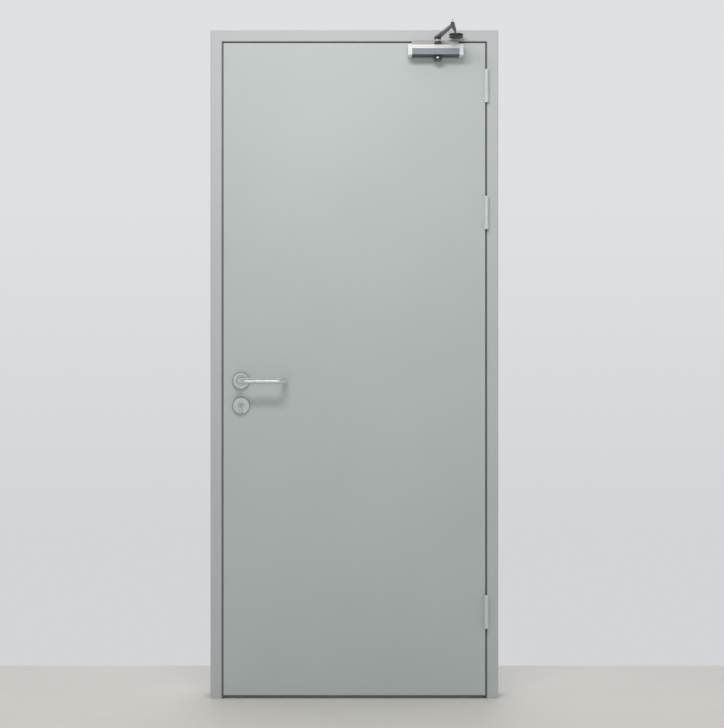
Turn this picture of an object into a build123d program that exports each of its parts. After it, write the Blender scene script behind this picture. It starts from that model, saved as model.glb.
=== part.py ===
from build123d import *
import os

os.makedirs("parts", exist_ok=True)

# Single-leaf flush steel fire door, hung in a two-part folded steel frame.
# Millimetres. +X points to the hinge side, +Y away from the pull side, +Z up.
# The origin is the middle of the hinge jamb's foot plate, on the floor.

# Leaf
leaf_width = 820.0
leaf_height = 2040.0
leaf_thickness = 50.0
skin = 1.5
skin_bend = 2.5
lock_edge_bevel = 3.0
core_clearance = 0.5

# Gaps round the closed leaf
side_gap = 5.0
head_gap = 5.0
floor_gap = 10.0
stop_gap = 8.0

# Frame: a front channel and a stop channel, folded from sheet and welded together
face_width = 35.0
stop_width = 20.0
frame_depth = 110.0
frame_sheet = 2.0
frame_bend = 3.0
wall_lip = 20.0
weld_lap = 10.0
seal_width = 14.0
seal_thickness = 3.0
seal_round = 2.5
seal_edge = 1.0
bottom_seal_width = 12.0
bottom_seal_clearance = 2.0

# Fixings of the frame to the floor and the wall
foot_thickness = 3.0
foot_screw_radius = 4.5
foot_screw_spacing = 30.0
anchor_thickness = 3.0
anchor_height = 40.0
anchor_screw_radius = 5.25
anchor_from_floor = 200.0
anchor_from_head = 210.0
anchor_levels = 4

# Hinges
upper_hinge_drop = 135.0
middle_hinge_drop = 531.0
lower_hinge_rise = 262.0
hinge_height = 98.0
hinge_leaf_depth = 36.0
hinge_leaf_thickness = 3.0
knuckle_diameter = 13.5
knuckle_standoff = 8.0
knuckle_gap = 0.5
hinge_pin_diameter = 7.5
pin_cap_height = 3.0
pin_cap_round = 1.5
running_fit = 0.05
seat_fit = 0.2

# Mortise lock, its strike plate, and the furniture on both faces of the leaf
handle_height = 994.0
backset = 56.0
cylinder_drop = 78.0
forend_width = 24.0
forend_height = 235.0
forend_thickness = 3.0
lock_case_thickness = 15.0
lock_case_height = 165.0
lock_case_depth = 88.0
follower_radius = 7.0
latch_width = 12.0
latch_height = 28.0
bolt_height = 38.0
bolt_recess = 0.6
strike_thickness = 2.0
strike_height = 200.0
spindle_side = 8.0
spindle_hole_radius = 9.0
rose_radius = 27.5
rose_thickness = 8.0
rose_edge = 3.0
collar_radius = 15.0
collar_height = 3.0
lever_radius = 10.0
lever_length = 148.0
lever_reach = 62.0
lever_bend = 18.0
lever_return_gap = 12.0
lever_end_round = 3.0
lever_start = 3.0
lever_fit = 0.5
cylinder_radius = 8.5
cylinder_web_radius = 5.0
cylinder_height = 33.0
cylinder_proud = 2.0
cylinder_fit = 0.5
keyway_width = 2.0
keyway_height = 9.0
keyway_depth = 18.0

# Overhead closer on the leaf, its folding arm, and the shoe on the frame head
closer_length = 172.0
closer_cap_length = 12.5
closer_depth = 50.0
closer_height = 34.0
closer_below_top = 13.0
closer_from_hinge = 160.0
closer_upper_slope = 14.0
closer_lower_slope = 2.0
closer_upper_set_back = 12.0
closer_lower_set_back = 2.0
closer_round = 3.0
cap_proud = 1.0
cap_round = 2.0
plate_thickness = 8.0
plate_above_leaf = 4.0
plate_chamfer = 7.0
plate_below_body = 2.0
spindle_from_hinge = 153.5
spindle_standoff = 34.0
closer_spindle_radius = 7.0
spindle_tip_radius = 6.0
spindle_depth = 28.0
spindle_end_gap = 1.0
bottom_cap_radius = 13.0
bottom_cap_height = 16.0
bottom_cap_round = 5.0
arm_above_leaf = 8.0
arm_thickness = 6.0
arm_spindle_radius = 7.5
elbow_eye_radius = 6.0
hub_radius = 10.5
hub_drop = 3.0
elbow_from_hinge = 117.5
elbow_reach = 235.0
elbow_boss_radius = 5.0
elbow_gap = 0.4
forearm_lift = 1.6
forearm_thickness = 3.5
forearm_eye_radius = 8.0
forearm_bar_width = 11.0
forearm_bar_length = 115.0
forearm_rod_radius = 3.0
forearm_tongue_length = 30.0
shoe_from_hinge = 96.0
shoe_standoff = 30.0
shoe_width = 44.0
shoe_plate_thickness = 4.0
shoe_plate_height = 20.0
shoe_lug_radius = 22.0
shoe_web_width = 26.0
shoe_web_thickness = 4.0
lower_lug_thickness = 3.2
upper_lug_thickness = 2.3
lug_gap = 0.4
shoe_pin_radius = 3.5

# Places worked out from the sizes above
rebate_depth = leaf_thickness + stop_gap
section_width = face_width + stop_width
front_y = -(frame_sheet + rebate_depth) / 2
leaf_back_y = front_y + leaf_thickness
leaf_mid_y = front_y + leaf_thickness / 2
stop_y = front_y + rebate_depth
hinge_wall_x = face_width / 2
hinge_reveal_x = hinge_wall_x - face_width
leaf_hinge_x = hinge_reveal_x - side_gap
leaf_lock_x = leaf_hinge_x - leaf_width
lock_reveal_x = leaf_lock_x - side_gap
lock_wall_x = lock_reveal_x - face_width
frame_width = hinge_wall_x - lock_wall_x
middle_x = (hinge_wall_x + lock_wall_x) / 2
leaf_top_z = floor_gap + leaf_height
head_reveal_z = leaf_top_z + head_gap
frame_top_z = head_reveal_z + face_width
axis_x = hinge_reveal_x - side_gap / 2
axis_y = front_y - knuckle_standoff
hinge_heights = {
    "lower": floor_gap + lower_hinge_rise,
    "middle": leaf_top_z - middle_hinge_drop,
    "upper": leaf_top_z - upper_hinge_drop,
}
door_middle = Plane.YZ.offset(middle_x)
leaf_middle = Plane.XZ.offset(-leaf_mid_y)


# Frame members. A section is drawn with u from the wall side inwards and v from the front backwards.
hinge_run = Plane(origin=(hinge_wall_x, front_y, frame_top_z), x_dir=(-1, 0, 0), z_dir=(0, 0, -1))
lock_run = Plane(origin=(lock_wall_x, front_y, 0), x_dir=(1, 0, 0), z_dir=(0, 0, 1))
head_run = Plane(origin=(lock_wall_x, front_y, frame_top_z), x_dir=(0, 0, -1), z_dir=(1, 0, 0))
hinge_mitre = Plane(origin=(hinge_wall_x, front_y, frame_top_z), x_dir=(0, 1, 0), z_dir=(-1, 0, 1))
lock_mitre = Plane(origin=(lock_wall_x, front_y, frame_top_z), x_dir=(0, 1, 0), z_dir=(1, 0, 1))
front_fold = [(0, wall_lip), (0, 0), (face_width, 0), (face_width, rebate_depth)]
stop_fold = [
    (face_width - weld_lap, rebate_depth),
    (section_width, rebate_depth),
    (section_width, frame_depth),
    (0, frame_depth),
    (0, frame_depth - wall_lip),
]


def folded_section(plane, fold):
    """Section across a folded sheet: the fold runs along its outer face, with the metal to its left."""
    with BuildSketch(plane) as section:
        with BuildLine():
            FilletPolyline(*fold, radius=frame_bend)
            offset(amount=frame_sheet, side=Side.LEFT)
        make_face()
    return section.sketch


lock_middle_z = handle_height - cylinder_drop / 2
with BuildPart() as hinge_jamb:
    extrude(folded_section(hinge_run, front_fold), amount=frame_top_z, dir=(0, 0, -1))
    split(bisect_by=hinge_mitre, keep=Keep.BOTTOM)
    for level in hinge_heights.values():
        with Locations((hinge_reveal_x, front_y, level)):
            Box(
                hinge_leaf_thickness,
                hinge_leaf_depth + seat_fit,
                hinge_height + 2 * seat_fit,
                align=(Align.MIN, Align.MIN, Align.CENTER),
                mode=Mode.SUBTRACT,
            )
hinge_jamb.part.label = "hinge_jamb"
export_step(hinge_jamb.part, "parts/hinge_jamb.step")

with BuildPart() as lock_jamb:
    extrude(folded_section(lock_run, front_fold), amount=frame_top_z, dir=(0, 0, 1))
    split(bisect_by=lock_mitre, keep=Keep.BOTTOM)
    with Locations((lock_reveal_x, leaf_mid_y, lock_middle_z)):
        Box(
            2 * strike_thickness,
            forend_width + 2 * seat_fit,
            strike_height + 2 * seat_fit,
            mode=Mode.SUBTRACT,
        )
lock_jamb.part.label = "lock_jamb"
export_step(lock_jamb.part, "parts/lock_jamb.step")

with BuildPart() as frame_head:
    extrude(folded_section(head_run, front_fold), amount=frame_width, dir=(1, 0, 0))
    split(bisect_by=hinge_mitre, keep=Keep.TOP)
    split(bisect_by=lock_mitre, keep=Keep.TOP)
frame_head.part.label = "frame_head"
export_step(frame_head.part, "parts/frame_head.step")

with BuildPart() as hinge_jamb_stop:
    extrude(folded_section(hinge_run, stop_fold), amount=frame_top_z, dir=(0, 0, -1))
    split(bisect_by=hinge_mitre, keep=Keep.BOTTOM)
hinge_jamb_stop.part.label = "hinge_jamb_stop"
export_step(hinge_jamb_stop.part, "parts/hinge_jamb_stop.step")

with BuildPart() as lock_jamb_stop:
    mirror(hinge_jamb_stop.part, about=door_middle)
lock_jamb_stop.part.label = "lock_jamb_stop"
export_step(lock_jamb_stop.part, "parts/lock_jamb_stop.step")

with BuildPart() as frame_head_stop:
    extrude(folded_section(head_run, stop_fold), amount=frame_width, dir=(1, 0, 0))
    split(bisect_by=hinge_mitre, keep=Keep.TOP)
    split(bisect_by=lock_mitre, keep=Keep.TOP)
frame_head_stop.part.label = "frame_head_stop"
export_step(frame_head_stop.part, "parts/frame_head_stop.step")

# Smoke seal, one rubber length pressed on the stop faces round the three sides of the rebate
with BuildPart() as rebate_seal:
    with BuildSketch(Plane.XZ.offset(-stop_y)):
        for edge, mode in ((seal_edge, Mode.ADD), (seal_edge + seal_width, Mode.SUBTRACT)):
            with Locations((middle_x, 0)):
                Rectangle(
                    frame_width - 2 * (face_width + edge),
                    head_reveal_z - edge,
                    align=(Align.CENTER, Align.MIN),
                    mode=mode,
                )
    extrude(amount=seal_thickness)
    seal_front = rebate_seal.faces().sort_by(Axis.Y)[0]
    seal_foot_edges = seal_front.edges().group_by(Axis.Z)[0]
    fillet(seal_front.edges() - seal_foot_edges, seal_round)
rebate_seal.part.label = "rebate_seal"
export_step(rebate_seal.part, "parts/rebate_seal.step")

# Foot plates welded into the front channels, and wall anchors across their open backs
foot_width = face_width - 2 * frame_sheet
foot_length = rebate_depth - frame_sheet
with BuildPart() as hinge_jamb_foot:
    with BuildSketch():
        RectangleRounded(foot_width, foot_length, frame_bend)
        with GridLocations(0, foot_screw_spacing, 1, 2):
            Circle(foot_screw_radius, mode=Mode.SUBTRACT)
    extrude(amount=foot_thickness)
hinge_jamb_foot.part.label = "hinge_jamb_foot"
export_step(hinge_jamb_foot.part, "parts/hinge_jamb_foot.step")

with BuildPart() as lock_jamb_foot:
    mirror(hinge_jamb_foot.part, about=door_middle)
lock_jamb_foot.part.label = "lock_jamb_foot"
export_step(lock_jamb_foot.part, "parts/lock_jamb_foot.step")

anchor_highest = frame_top_z - anchor_from_head
anchor_middle_z = (anchor_from_floor + anchor_highest) / 2
anchor_spacing = (anchor_highest - anchor_from_floor) / (anchor_levels - 1)
with BuildPart() as hinge_side_anchors:
    anchor_seat = Plane(
        origin=(hinge_wall_x - frame_sheet, front_y + frame_depth / 2, anchor_middle_z),
        x_dir=(0, 1, 0),
        z_dir=(-1, 0, 0),
    )
    with BuildSketch(anchor_seat):
        with GridLocations(0, anchor_spacing, 1, anchor_levels):
            Rectangle(frame_depth - 2 * (frame_sheet + frame_bend), anchor_height)
            Circle(anchor_screw_radius, mode=Mode.SUBTRACT)
    extrude(amount=anchor_thickness)
hinge_side_anchors.part.label = "hinge_side_anchors"
export_step(hinge_side_anchors.part, "parts/hinge_side_anchors.step")

with BuildPart() as lock_side_anchors:
    mirror(hinge_side_anchors.part, about=door_middle)
lock_side_anchors.part.label = "lock_side_anchors"
export_step(lock_side_anchors.part, "parts/lock_side_anchors.step")

# Strike plate let into the lock jamb opposite the lock, with openings for latch and bolt
latch_z = handle_height
bolt_z = handle_height - cylinder_drop
with BuildPart() as strike_plate:
    strike_face = Plane(origin=(lock_reveal_x, leaf_mid_y, 0), x_dir=(0, 1, 0), z_dir=(1, 0, 0))
    with BuildSketch(strike_face):
        with Locations((0, lock_middle_z)):
            Rectangle(forend_width, strike_height)
        with Locations((0, latch_z)):
            Rectangle(latch_width, latch_height, mode=Mode.SUBTRACT)
        with Locations((0, bolt_z)):
            Rectangle(latch_width, bolt_height, mode=Mode.SUBTRACT)
    extrude(amount=-strike_thickness)
strike_plate.part.label = "strike_plate"
export_step(strike_plate.part, "parts/strike_plate.step")

# Hinges: the frame half carries the outer knuckles, the leaf half the middle one, round a fixed pin
knuckle_length = (hinge_height - 2 * knuckle_gap) / 3
knuckle_pitch = knuckle_length + knuckle_gap
knuckle_radius = knuckle_diameter / 2
pin_radius = hinge_pin_diameter / 2
for place, level in hinge_heights.items():
    with BuildPart() as frame_half:
        with Locations((axis_x, axis_y, level - knuckle_pitch), (axis_x, axis_y, level + knuckle_pitch)):
            Cylinder(knuckle_radius, knuckle_length)
            with Locations((hinge_reveal_x - axis_x, 0, 0)):
                Box(
                    hinge_leaf_thickness,
                    knuckle_standoff + skin,
                    knuckle_length,
                    align=(Align.MIN, Align.MIN, Align.CENTER),
                )
            Cylinder(pin_radius + running_fit, knuckle_length, mode=Mode.SUBTRACT)
        with Locations((hinge_reveal_x, front_y, level)):
            Box(
                hinge_leaf_thickness,
                hinge_leaf_depth,
                hinge_height,
                align=(Align.MIN, Align.MIN, Align.CENTER),
            )
    frame_half.part.label = f"{place}_hinge_frame_half"
    export_step(frame_half.part, f"parts/{place}_hinge_frame_half.step")

    with BuildPart() as leaf_half:
        with Locations((axis_x, axis_y, level)):
            Cylinder(knuckle_radius, knuckle_length)
            with Locations((leaf_hinge_x - axis_x, 0, 0)):
                Box(
                    hinge_leaf_thickness,
                    knuckle_standoff + skin,
                    knuckle_length,
                    align=(Align.MAX, Align.MIN, Align.CENTER),
                )
            Cylinder(pin_radius + running_fit, knuckle_length, mode=Mode.SUBTRACT)
        with Locations((leaf_hinge_x, front_y, level)):
            Box(
                hinge_leaf_thickness,
                hinge_leaf_depth,
                hinge_height,
                align=(Align.MAX, Align.MIN, Align.CENTER),
            )
    leaf_half.part.label = f"{place}_hinge_leaf_half"
    export_step(leaf_half.part, f"parts/{place}_hinge_leaf_half.step")

    with BuildPart() as hinge_pin:
        with Locations((axis_x, axis_y, level)):
            Cylinder(pin_radius, hinge_height)
        with Locations((axis_x, axis_y, level + hinge_height / 2)):
            Cylinder(knuckle_radius, pin_cap_height, align=(Align.CENTER, Align.CENTER, Align.MIN))
        with Locations((axis_x, axis_y, level - hinge_height / 2)):
            Cylinder(knuckle_radius, pin_cap_height, align=(Align.CENTER, Align.CENTER, Align.MAX))
        for pin_end in (hinge_pin.faces().sort_by(Axis.Z)[0], hinge_pin.faces().sort_by(Axis.Z)[-1]):
            fillet(pin_end.edges(), pin_cap_round)
    hinge_pin.part.label = f"{place}_hinge_pin"
    export_step(hinge_pin.part, f"parts/{place}_hinge_pin.step")

# Leaf: a front tray with folded edges, a back sheet that closes it, and a mineral core
seam_y = leaf_back_y - skin
bevel_per_depth = lock_edge_bevel / leaf_thickness
leaf_bottom = Plane.XY.offset(floor_gap)
spindle_x = leaf_lock_x + backset
case_x = leaf_lock_x + skin
spindle_front = Plane(origin=(spindle_x, front_y, handle_height), x_dir=(1, 0, 0), z_dir=(0, -1, 0))
cylinder_front = Plane(origin=(spindle_x, front_y, bolt_z), x_dir=(1, 0, 0), z_dir=(0, -1, 0))
lock_edge = Plane(
    origin=(leaf_lock_x + lock_edge_bevel / 2, leaf_mid_y, lock_middle_z),
    x_dir=(lock_edge_bevel, leaf_thickness, 0),
    z_dir=(-leaf_thickness, lock_edge_bevel, 0),
)


def leaf_outline(y_from, y_to, inset):
    """Plan of the leaf between two depths, drawn in by an inset at both edges."""
    lock_from = leaf_lock_x + bevel_per_depth * (y_from - front_y) + inset
    lock_to = leaf_lock_x + bevel_per_depth * (y_to - front_y) + inset
    hinge_side = leaf_hinge_x - inset
    with BuildSketch(leaf_bottom) as outline:
        with BuildLine():
            Polyline(
                (hinge_side, y_from),
                (hinge_side, y_to),
                (lock_to, y_to),
                (lock_from, y_from),
                close=True,
            )
        make_face()
    return outline.sketch


def cylinder_section(plane, margin):
    """Pear-shaped section of the lock cylinder, grown by a margin."""
    web_drop = cylinder_height - cylinder_radius - cylinder_web_radius
    with BuildSketch(plane) as section:
        Circle(cylinder_radius + margin)
        with Locations((0, -web_drop / 2)):
            Rectangle(2 * (cylinder_web_radius + margin), web_drop)
        with Locations((0, -web_drop)):
            Circle(cylinder_web_radius + margin)
    return section.sketch


with BuildPart() as lock_openings:
    extrude(cylinder_section(cylinder_front, cylinder_fit), amount=-leaf_thickness)
    with BuildSketch(spindle_front):
        Circle(spindle_hole_radius)
    extrude(amount=-leaf_thickness)

with BuildPart() as hinge_recesses:
    for level in hinge_heights.values():
        with Locations((leaf_hinge_x, front_y, level)):
            Box(
                hinge_leaf_thickness,
                hinge_leaf_depth + seat_fit,
                hinge_height + 2 * seat_fit,
                align=(Align.MAX, Align.MIN, Align.CENTER),
            )

with BuildPart() as forend_opening:
    with BuildSketch(lock_edge):
        Rectangle(forend_width + 2 * seat_fit, forend_height + 2 * seat_fit)
    extrude(amount=-forend_thickness)

with BuildPart() as leaf_front_tray:
    extrude(leaf_outline(front_y, seam_y, 0), amount=leaf_height, dir=(0, 0, 1))
    fillet(leaf_front_tray.faces().sort_by(Axis.Y)[0].edges(), skin_bend)
    offset(amount=-skin, openings=leaf_front_tray.faces().sort_by(Axis.Y)[-1])
    add(lock_openings.part, mode=Mode.SUBTRACT)
    add(hinge_recesses.part, mode=Mode.SUBTRACT)
    add(forend_opening.part, mode=Mode.SUBTRACT)
leaf_front_tray.part.label = "leaf_front_tray"
export_step(leaf_front_tray.part, "parts/leaf_front_tray.step")

with BuildPart() as leaf_back_sheet:
    extrude(leaf_outline(seam_y, leaf_back_y, 0), amount=leaf_height, dir=(0, 0, 1))
    add(lock_openings.part, mode=Mode.SUBTRACT)
leaf_back_sheet.part.label = "leaf_back_sheet"
export_step(leaf_back_sheet.part, "parts/leaf_back_sheet.step")

with BuildPart() as leaf_core:
    core_inset = skin + core_clearance
    with BuildSketch(leaf_bottom.offset(core_inset)):
        add(leaf_outline(front_y + core_inset, seam_y - core_clearance, core_inset))
    extrude(amount=leaf_height - 2 * core_inset)
    add(lock_openings.part, mode=Mode.SUBTRACT)
    add(hinge_recesses.part, mode=Mode.SUBTRACT)
    add(forend_opening.part, mode=Mode.SUBTRACT)
    with Locations((case_x, leaf_mid_y, lock_middle_z)):
        Box(
            lock_case_depth + core_clearance,
            lock_case_thickness + 2 * core_clearance,
            lock_case_height + 2 * core_clearance,
            align=(Align.MIN, Align.CENTER, Align.CENTER),
            mode=Mode.SUBTRACT,
        )
leaf_core.part.label = "leaf_core"
export_step(leaf_core.part, "parts/leaf_core.step")

with BuildPart() as leaf_bottom_seal:
    with Locations(((leaf_hinge_x + leaf_lock_x) / 2, leaf_mid_y, floor_gap)):
        Box(
            leaf_width - 2 * lock_edge_bevel,
            bottom_seal_width,
            floor_gap - bottom_seal_clearance,
            align=(Align.CENTER, Align.CENTER, Align.MAX),
        )
leaf_bottom_seal.part.label = "leaf_bottom_seal"
export_step(leaf_bottom_seal.part, "parts/leaf_bottom_seal.step")

# Mortise lock: forend on the bevelled edge, case behind it, latch and bolt drawn in
with BuildPart() as mortise_lock:
    with BuildSketch(lock_edge):
        Rectangle(forend_width, forend_height)
    extrude(amount=-forend_thickness)
    with Locations((case_x + lock_edge_bevel, leaf_mid_y, lock_middle_z)):
        Box(
            lock_case_depth - lock_edge_bevel,
            lock_case_thickness,
            lock_case_height,
            align=(Align.MIN, Align.CENTER, Align.CENTER),
        )
    with BuildSketch(lock_edge):
        with Locations((0, lock_middle_z - latch_z)):
            Rectangle(latch_width, latch_height)
        with Locations((0, lock_middle_z - bolt_z)):
            Rectangle(latch_width, bolt_height)
    extrude(amount=-bolt_recess, mode=Mode.SUBTRACT)
    with BuildSketch(spindle_front):
        Circle(follower_radius)
    extrude(amount=-leaf_thickness, mode=Mode.SUBTRACT)
    extrude(cylinder_section(cylinder_front, cylinder_fit), amount=-leaf_thickness, mode=Mode.SUBTRACT)
mortise_lock.part.label = "mortise_lock"
export_step(mortise_lock.part, "parts/mortise_lock.step")

# Furniture: round roses and escutcheons, a through cylinder, and levers on one square spindle
with BuildPart() as front_rose:
    with BuildSketch(spindle_front):
        Circle(rose_radius)
    extrude(amount=rose_thickness)
    fillet(front_rose.faces().sort_by(Axis.Y)[0].edges(), rose_edge)
    with BuildSketch(spindle_front):
        Circle(collar_radius)
    extrude(amount=rose_thickness + collar_height)
    fillet(front_rose.faces().sort_by(Axis.Y)[0].edges(), collar_height / 2)
    with BuildSketch(spindle_front):
        Circle(lever_radius + lever_fit)
    extrude(amount=rose_thickness + collar_height, mode=Mode.SUBTRACT)
front_rose.part.label = "front_rose"
export_step(front_rose.part, "parts/front_rose.step")

with BuildPart() as back_rose:
    mirror(front_rose.part, about=leaf_middle)
back_rose.part.label = "back_rose"
export_step(back_rose.part, "parts/back_rose.step")

with BuildPart() as front_escutcheon:
    with BuildSketch(cylinder_front):
        Circle(rose_radius)
    extrude(amount=rose_thickness)
    fillet(front_escutcheon.faces().sort_by(Axis.Y)[0].edges(), rose_edge)
    extrude(cylinder_section(cylinder_front, cylinder_fit), amount=rose_thickness, mode=Mode.SUBTRACT)
front_escutcheon.part.label = "front_escutcheon"
export_step(front_escutcheon.part, "parts/front_escutcheon.step")

with BuildPart() as back_escutcheon:
    mirror(front_escutcheon.part, about=leaf_middle)
back_escutcheon.part.label = "back_escutcheon"
export_step(back_escutcheon.part, "parts/back_escutcheon.step")

cylinder_reach = rose_thickness + cylinder_proud
cylinder_length = leaf_thickness + 2 * cylinder_reach
cylinder_end = cylinder_front.offset(cylinder_reach)
with BuildPart() as lock_cylinder:
    extrude(cylinder_section(cylinder_end, 0), amount=-cylinder_length)
    with BuildSketch(cylinder_end):
        Rectangle(keyway_width, keyway_height)
    extrude(amount=-keyway_depth, mode=Mode.SUBTRACT)
    with BuildSketch(cylinder_end.offset(-cylinder_length)):
        Rectangle(keyway_width, keyway_height)
    extrude(amount=keyway_depth, mode=Mode.SUBTRACT)
lock_cylinder.part.label = "lock_cylinder"
export_step(lock_cylinder.part, "parts/lock_cylinder.step")

lever_y = front_y - lever_reach
return_x = spindle_x + lever_length - lever_radius
with BuildPart() as front_lever:
    with BuildLine(Plane.XY.offset(handle_height)) as lever_line:
        FilletPolyline(
            (spindle_x, front_y - lever_start),
            (spindle_x, lever_y),
            (return_x, lever_y),
            (return_x, front_y - lever_return_gap),
            radius=lever_bend,
        )
    with BuildSketch(spindle_front.offset(lever_start)):
        Circle(lever_radius)
    sweep(path=lever_line.line)
    return_end = front_lever.faces().filter_by(GeomType.PLANE).sort_by(Axis.X)[-1]
    fillet(return_end.edges(), lever_end_round)
front_lever.part.label = "front_lever"
export_step(front_lever.part, "parts/front_lever.step")

with BuildPart() as back_lever:
    mirror(front_lever.part, about=leaf_middle)
back_lever.part.label = "back_lever"
export_step(back_lever.part, "parts/back_lever.step")

with BuildPart() as lever_spindle:
    with Locations((spindle_x, leaf_mid_y, handle_height)):
        Box(spindle_side, leaf_thickness + 2 * lever_start, spindle_side)
lever_spindle.part.label = "lever_spindle"
export_step(lever_spindle.part, "parts/lever_spindle.step")

# Closer on the leaf: mounting plate, body with sloped front, bright end caps, bottom cap
closer_x = axis_x - closer_from_hinge
closer_back_y = front_y - plate_thickness
closer_front_y = closer_back_y - closer_depth
closer_top_z = leaf_top_z - closer_below_top
closer_bottom_z = closer_top_z - closer_height
body_length = closer_length - 2 * closer_cap_length
plate_top_z = leaf_top_z + plate_above_leaf
plate_bottom_z = closer_bottom_z - plate_below_body
closer_spindle = (axis_x - spindle_from_hinge, front_y - spindle_standoff)


def closer_section(x, proud):
    """Section across the closer body at a place along its length, grown by what a cap stands proud."""
    with BuildSketch(Plane.YZ.offset(x)) as section:
        with BuildLine():
            Polyline(
                (closer_back_y, closer_bottom_z),
                (closer_back_y, closer_top_z),
                (closer_front_y + closer_upper_set_back, closer_top_z),
                (closer_front_y, closer_top_z - closer_upper_slope),
                (closer_front_y, closer_bottom_z + closer_lower_slope),
                (closer_front_y + closer_lower_set_back, closer_bottom_z),
                close=True,
            )
        make_face()
        fillet(section.vertices().filter_by(lambda corner: corner.X < closer_back_y), closer_round)
        if proud:
            offset(amount=proud)
    return section.sketch


with BuildPart() as closer_mounting_plate:
    with BuildSketch(Plane.YZ.offset(closer_x)):
        with BuildLine():
            Polyline(
                (front_y, plate_bottom_z),
                (closer_back_y, plate_bottom_z),
                (closer_back_y, plate_top_z),
                (front_y - plate_chamfer, plate_top_z),
                (front_y, plate_top_z - plate_chamfer),
                close=True,
            )
        make_face()
    extrude(amount=body_length / 2, both=True)
closer_mounting_plate.part.label = "closer_mounting_plate"
export_step(closer_mounting_plate.part, "parts/closer_mounting_plate.step")

with BuildPart() as closer_body:
    extrude(closer_section(closer_x, 0), amount=body_length / 2, both=True)
    with Locations((*closer_spindle, closer_top_z)):
        Cylinder(
            closer_spindle_radius + running_fit,
            spindle_depth + spindle_end_gap,
            align=(Align.CENTER, Align.CENTER, Align.MAX),
            mode=Mode.SUBTRACT,
        )
closer_body.part.label = "closer_body"
export_step(closer_body.part, "parts/closer_body.step")

for side, end_x, outwards in (
    ("lock", closer_x - body_length / 2, -Axis.X),
    ("hinge", closer_x + body_length / 2, Axis.X),
):
    with BuildPart() as end_cap:
        extrude(closer_section(end_x, cap_proud), amount=closer_cap_length, dir=outwards.direction)
        fillet(end_cap.faces().sort_by(outwards)[-1].edges(), cap_round)
    end_cap.part.label = f"closer_{side}_end_cap"
    export_step(end_cap.part, f"parts/closer_{side}_end_cap.step")

with BuildPart() as closer_bottom_cap:
    with Locations((*closer_spindle, closer_bottom_z)):
        Cylinder(bottom_cap_radius, bottom_cap_height, align=(Align.CENTER, Align.CENTER, Align.MAX))
    fillet(closer_bottom_cap.faces().sort_by(Axis.Z)[0].edges(), bottom_cap_round)
closer_bottom_cap.part.label = "closer_bottom_cap"
export_step(closer_bottom_cap.part, "parts/closer_bottom_cap.step")

# Folding arm: the main arm on the closer's spindle passes under the forearm, which turns on the shoe's pin
elbow = (axis_x - elbow_from_hinge, front_y - elbow_reach)
shoe_pivot = (axis_x - shoe_from_hinge, front_y - shoe_standoff)
arm_z = leaf_top_z + arm_above_leaf
hub_z = arm_z - hub_drop
forearm_z = arm_z + arm_thickness + forearm_lift
with BuildPart() as closer_arm_spindle:
    with Locations((*closer_spindle, hub_z)):
        Cylinder(
            closer_spindle_radius,
            hub_z - closer_top_z + spindle_depth,
            align=(Align.CENTER, Align.CENTER, Align.MAX),
        )
        Cylinder(
            spindle_tip_radius,
            hub_drop + arm_thickness,
            align=(Align.CENTER, Align.CENTER, Align.MIN),
        )
closer_arm_spindle.part.label = "closer_arm_spindle"
export_step(closer_arm_spindle.part, "parts/closer_arm_spindle.step")

with BuildPart() as closer_main_arm:
    with BuildSketch(Plane.XY.offset(arm_z)):
        with Locations(closer_spindle):
            Circle(arm_spindle_radius)
        with Locations(elbow):
            Circle(elbow_eye_radius)
        make_hull()
    extrude(amount=arm_thickness)
    with Locations((*closer_spindle, hub_z)):
        Cylinder(hub_radius, hub_drop + arm_thickness, align=(Align.CENTER, Align.CENTER, Align.MIN))
        Cylinder(
            spindle_tip_radius + running_fit,
            hub_drop + arm_thickness,
            align=(Align.CENTER, Align.CENTER, Align.MIN),
            mode=Mode.SUBTRACT,
        )
    with Locations((*elbow, arm_z)):
        Cylinder(
            elbow_boss_radius,
            forearm_z - elbow_gap - arm_z,
            align=(Align.CENTER, Align.CENTER, Align.MIN),
        )
closer_main_arm.part.label = "closer_main_arm"
export_step(closer_main_arm.part, "parts/closer_main_arm.step")

forearm_line = Vector(*shoe_pivot) - Vector(*elbow)
forearm_length = forearm_line.length
forearm_plane = Plane(origin=(*elbow, forearm_z), x_dir=forearm_line, z_dir=(0, 0, 1))
with BuildPart() as closer_forearm:
    with BuildSketch(forearm_plane):
        Circle(elbow_eye_radius)
        with Locations((forearm_bar_length / 2, 0)):
            Rectangle(forearm_bar_length, forearm_bar_width)
        with Locations((forearm_length, 0)):
            Circle(forearm_eye_radius)
            Rectangle(
                forearm_tongue_length,
                2 * forearm_eye_radius,
                align=(Align.MAX, Align.CENTER),
            )
    extrude(amount=forearm_thickness)
    rod_start = forearm_plane.from_local_coords((forearm_bar_length / 2, 0, forearm_thickness / 2))
    with BuildSketch(Plane(rod_start, z_dir=forearm_line)):
        Circle(forearm_rod_radius)
    extrude(amount=forearm_length - forearm_tongue_length - forearm_bar_length / 2)
    with Locations((*shoe_pivot, forearm_z + forearm_thickness / 2)):
        Cylinder(shoe_pin_radius + running_fit, 2 * forearm_thickness, mode=Mode.SUBTRACT)
closer_forearm.part.label = "closer_forearm"
export_step(closer_forearm.part, "parts/closer_forearm.step")

# Shoe on the frame head: a plate screwed to the head, and a clevis on it that holds the forearm's pin
lower_lug_z = forearm_z - lug_gap - lower_lug_thickness
upper_lug_z = forearm_z + forearm_thickness + lug_gap
clevis_height = upper_lug_z + upper_lug_thickness - lower_lug_z
plate_front_y = front_y - shoe_plate_thickness
with BuildPart() as shoe_plate:
    with Locations((shoe_pivot[0], front_y, lower_lug_z + clevis_height / 2)):
        Box(
            shoe_width,
            shoe_plate_thickness,
            shoe_plate_height,
            align=(Align.CENTER, Align.MAX, Align.CENTER),
        )
shoe_plate.part.label = "shoe_plate"
export_step(shoe_plate.part, "parts/shoe_plate.step")

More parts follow.
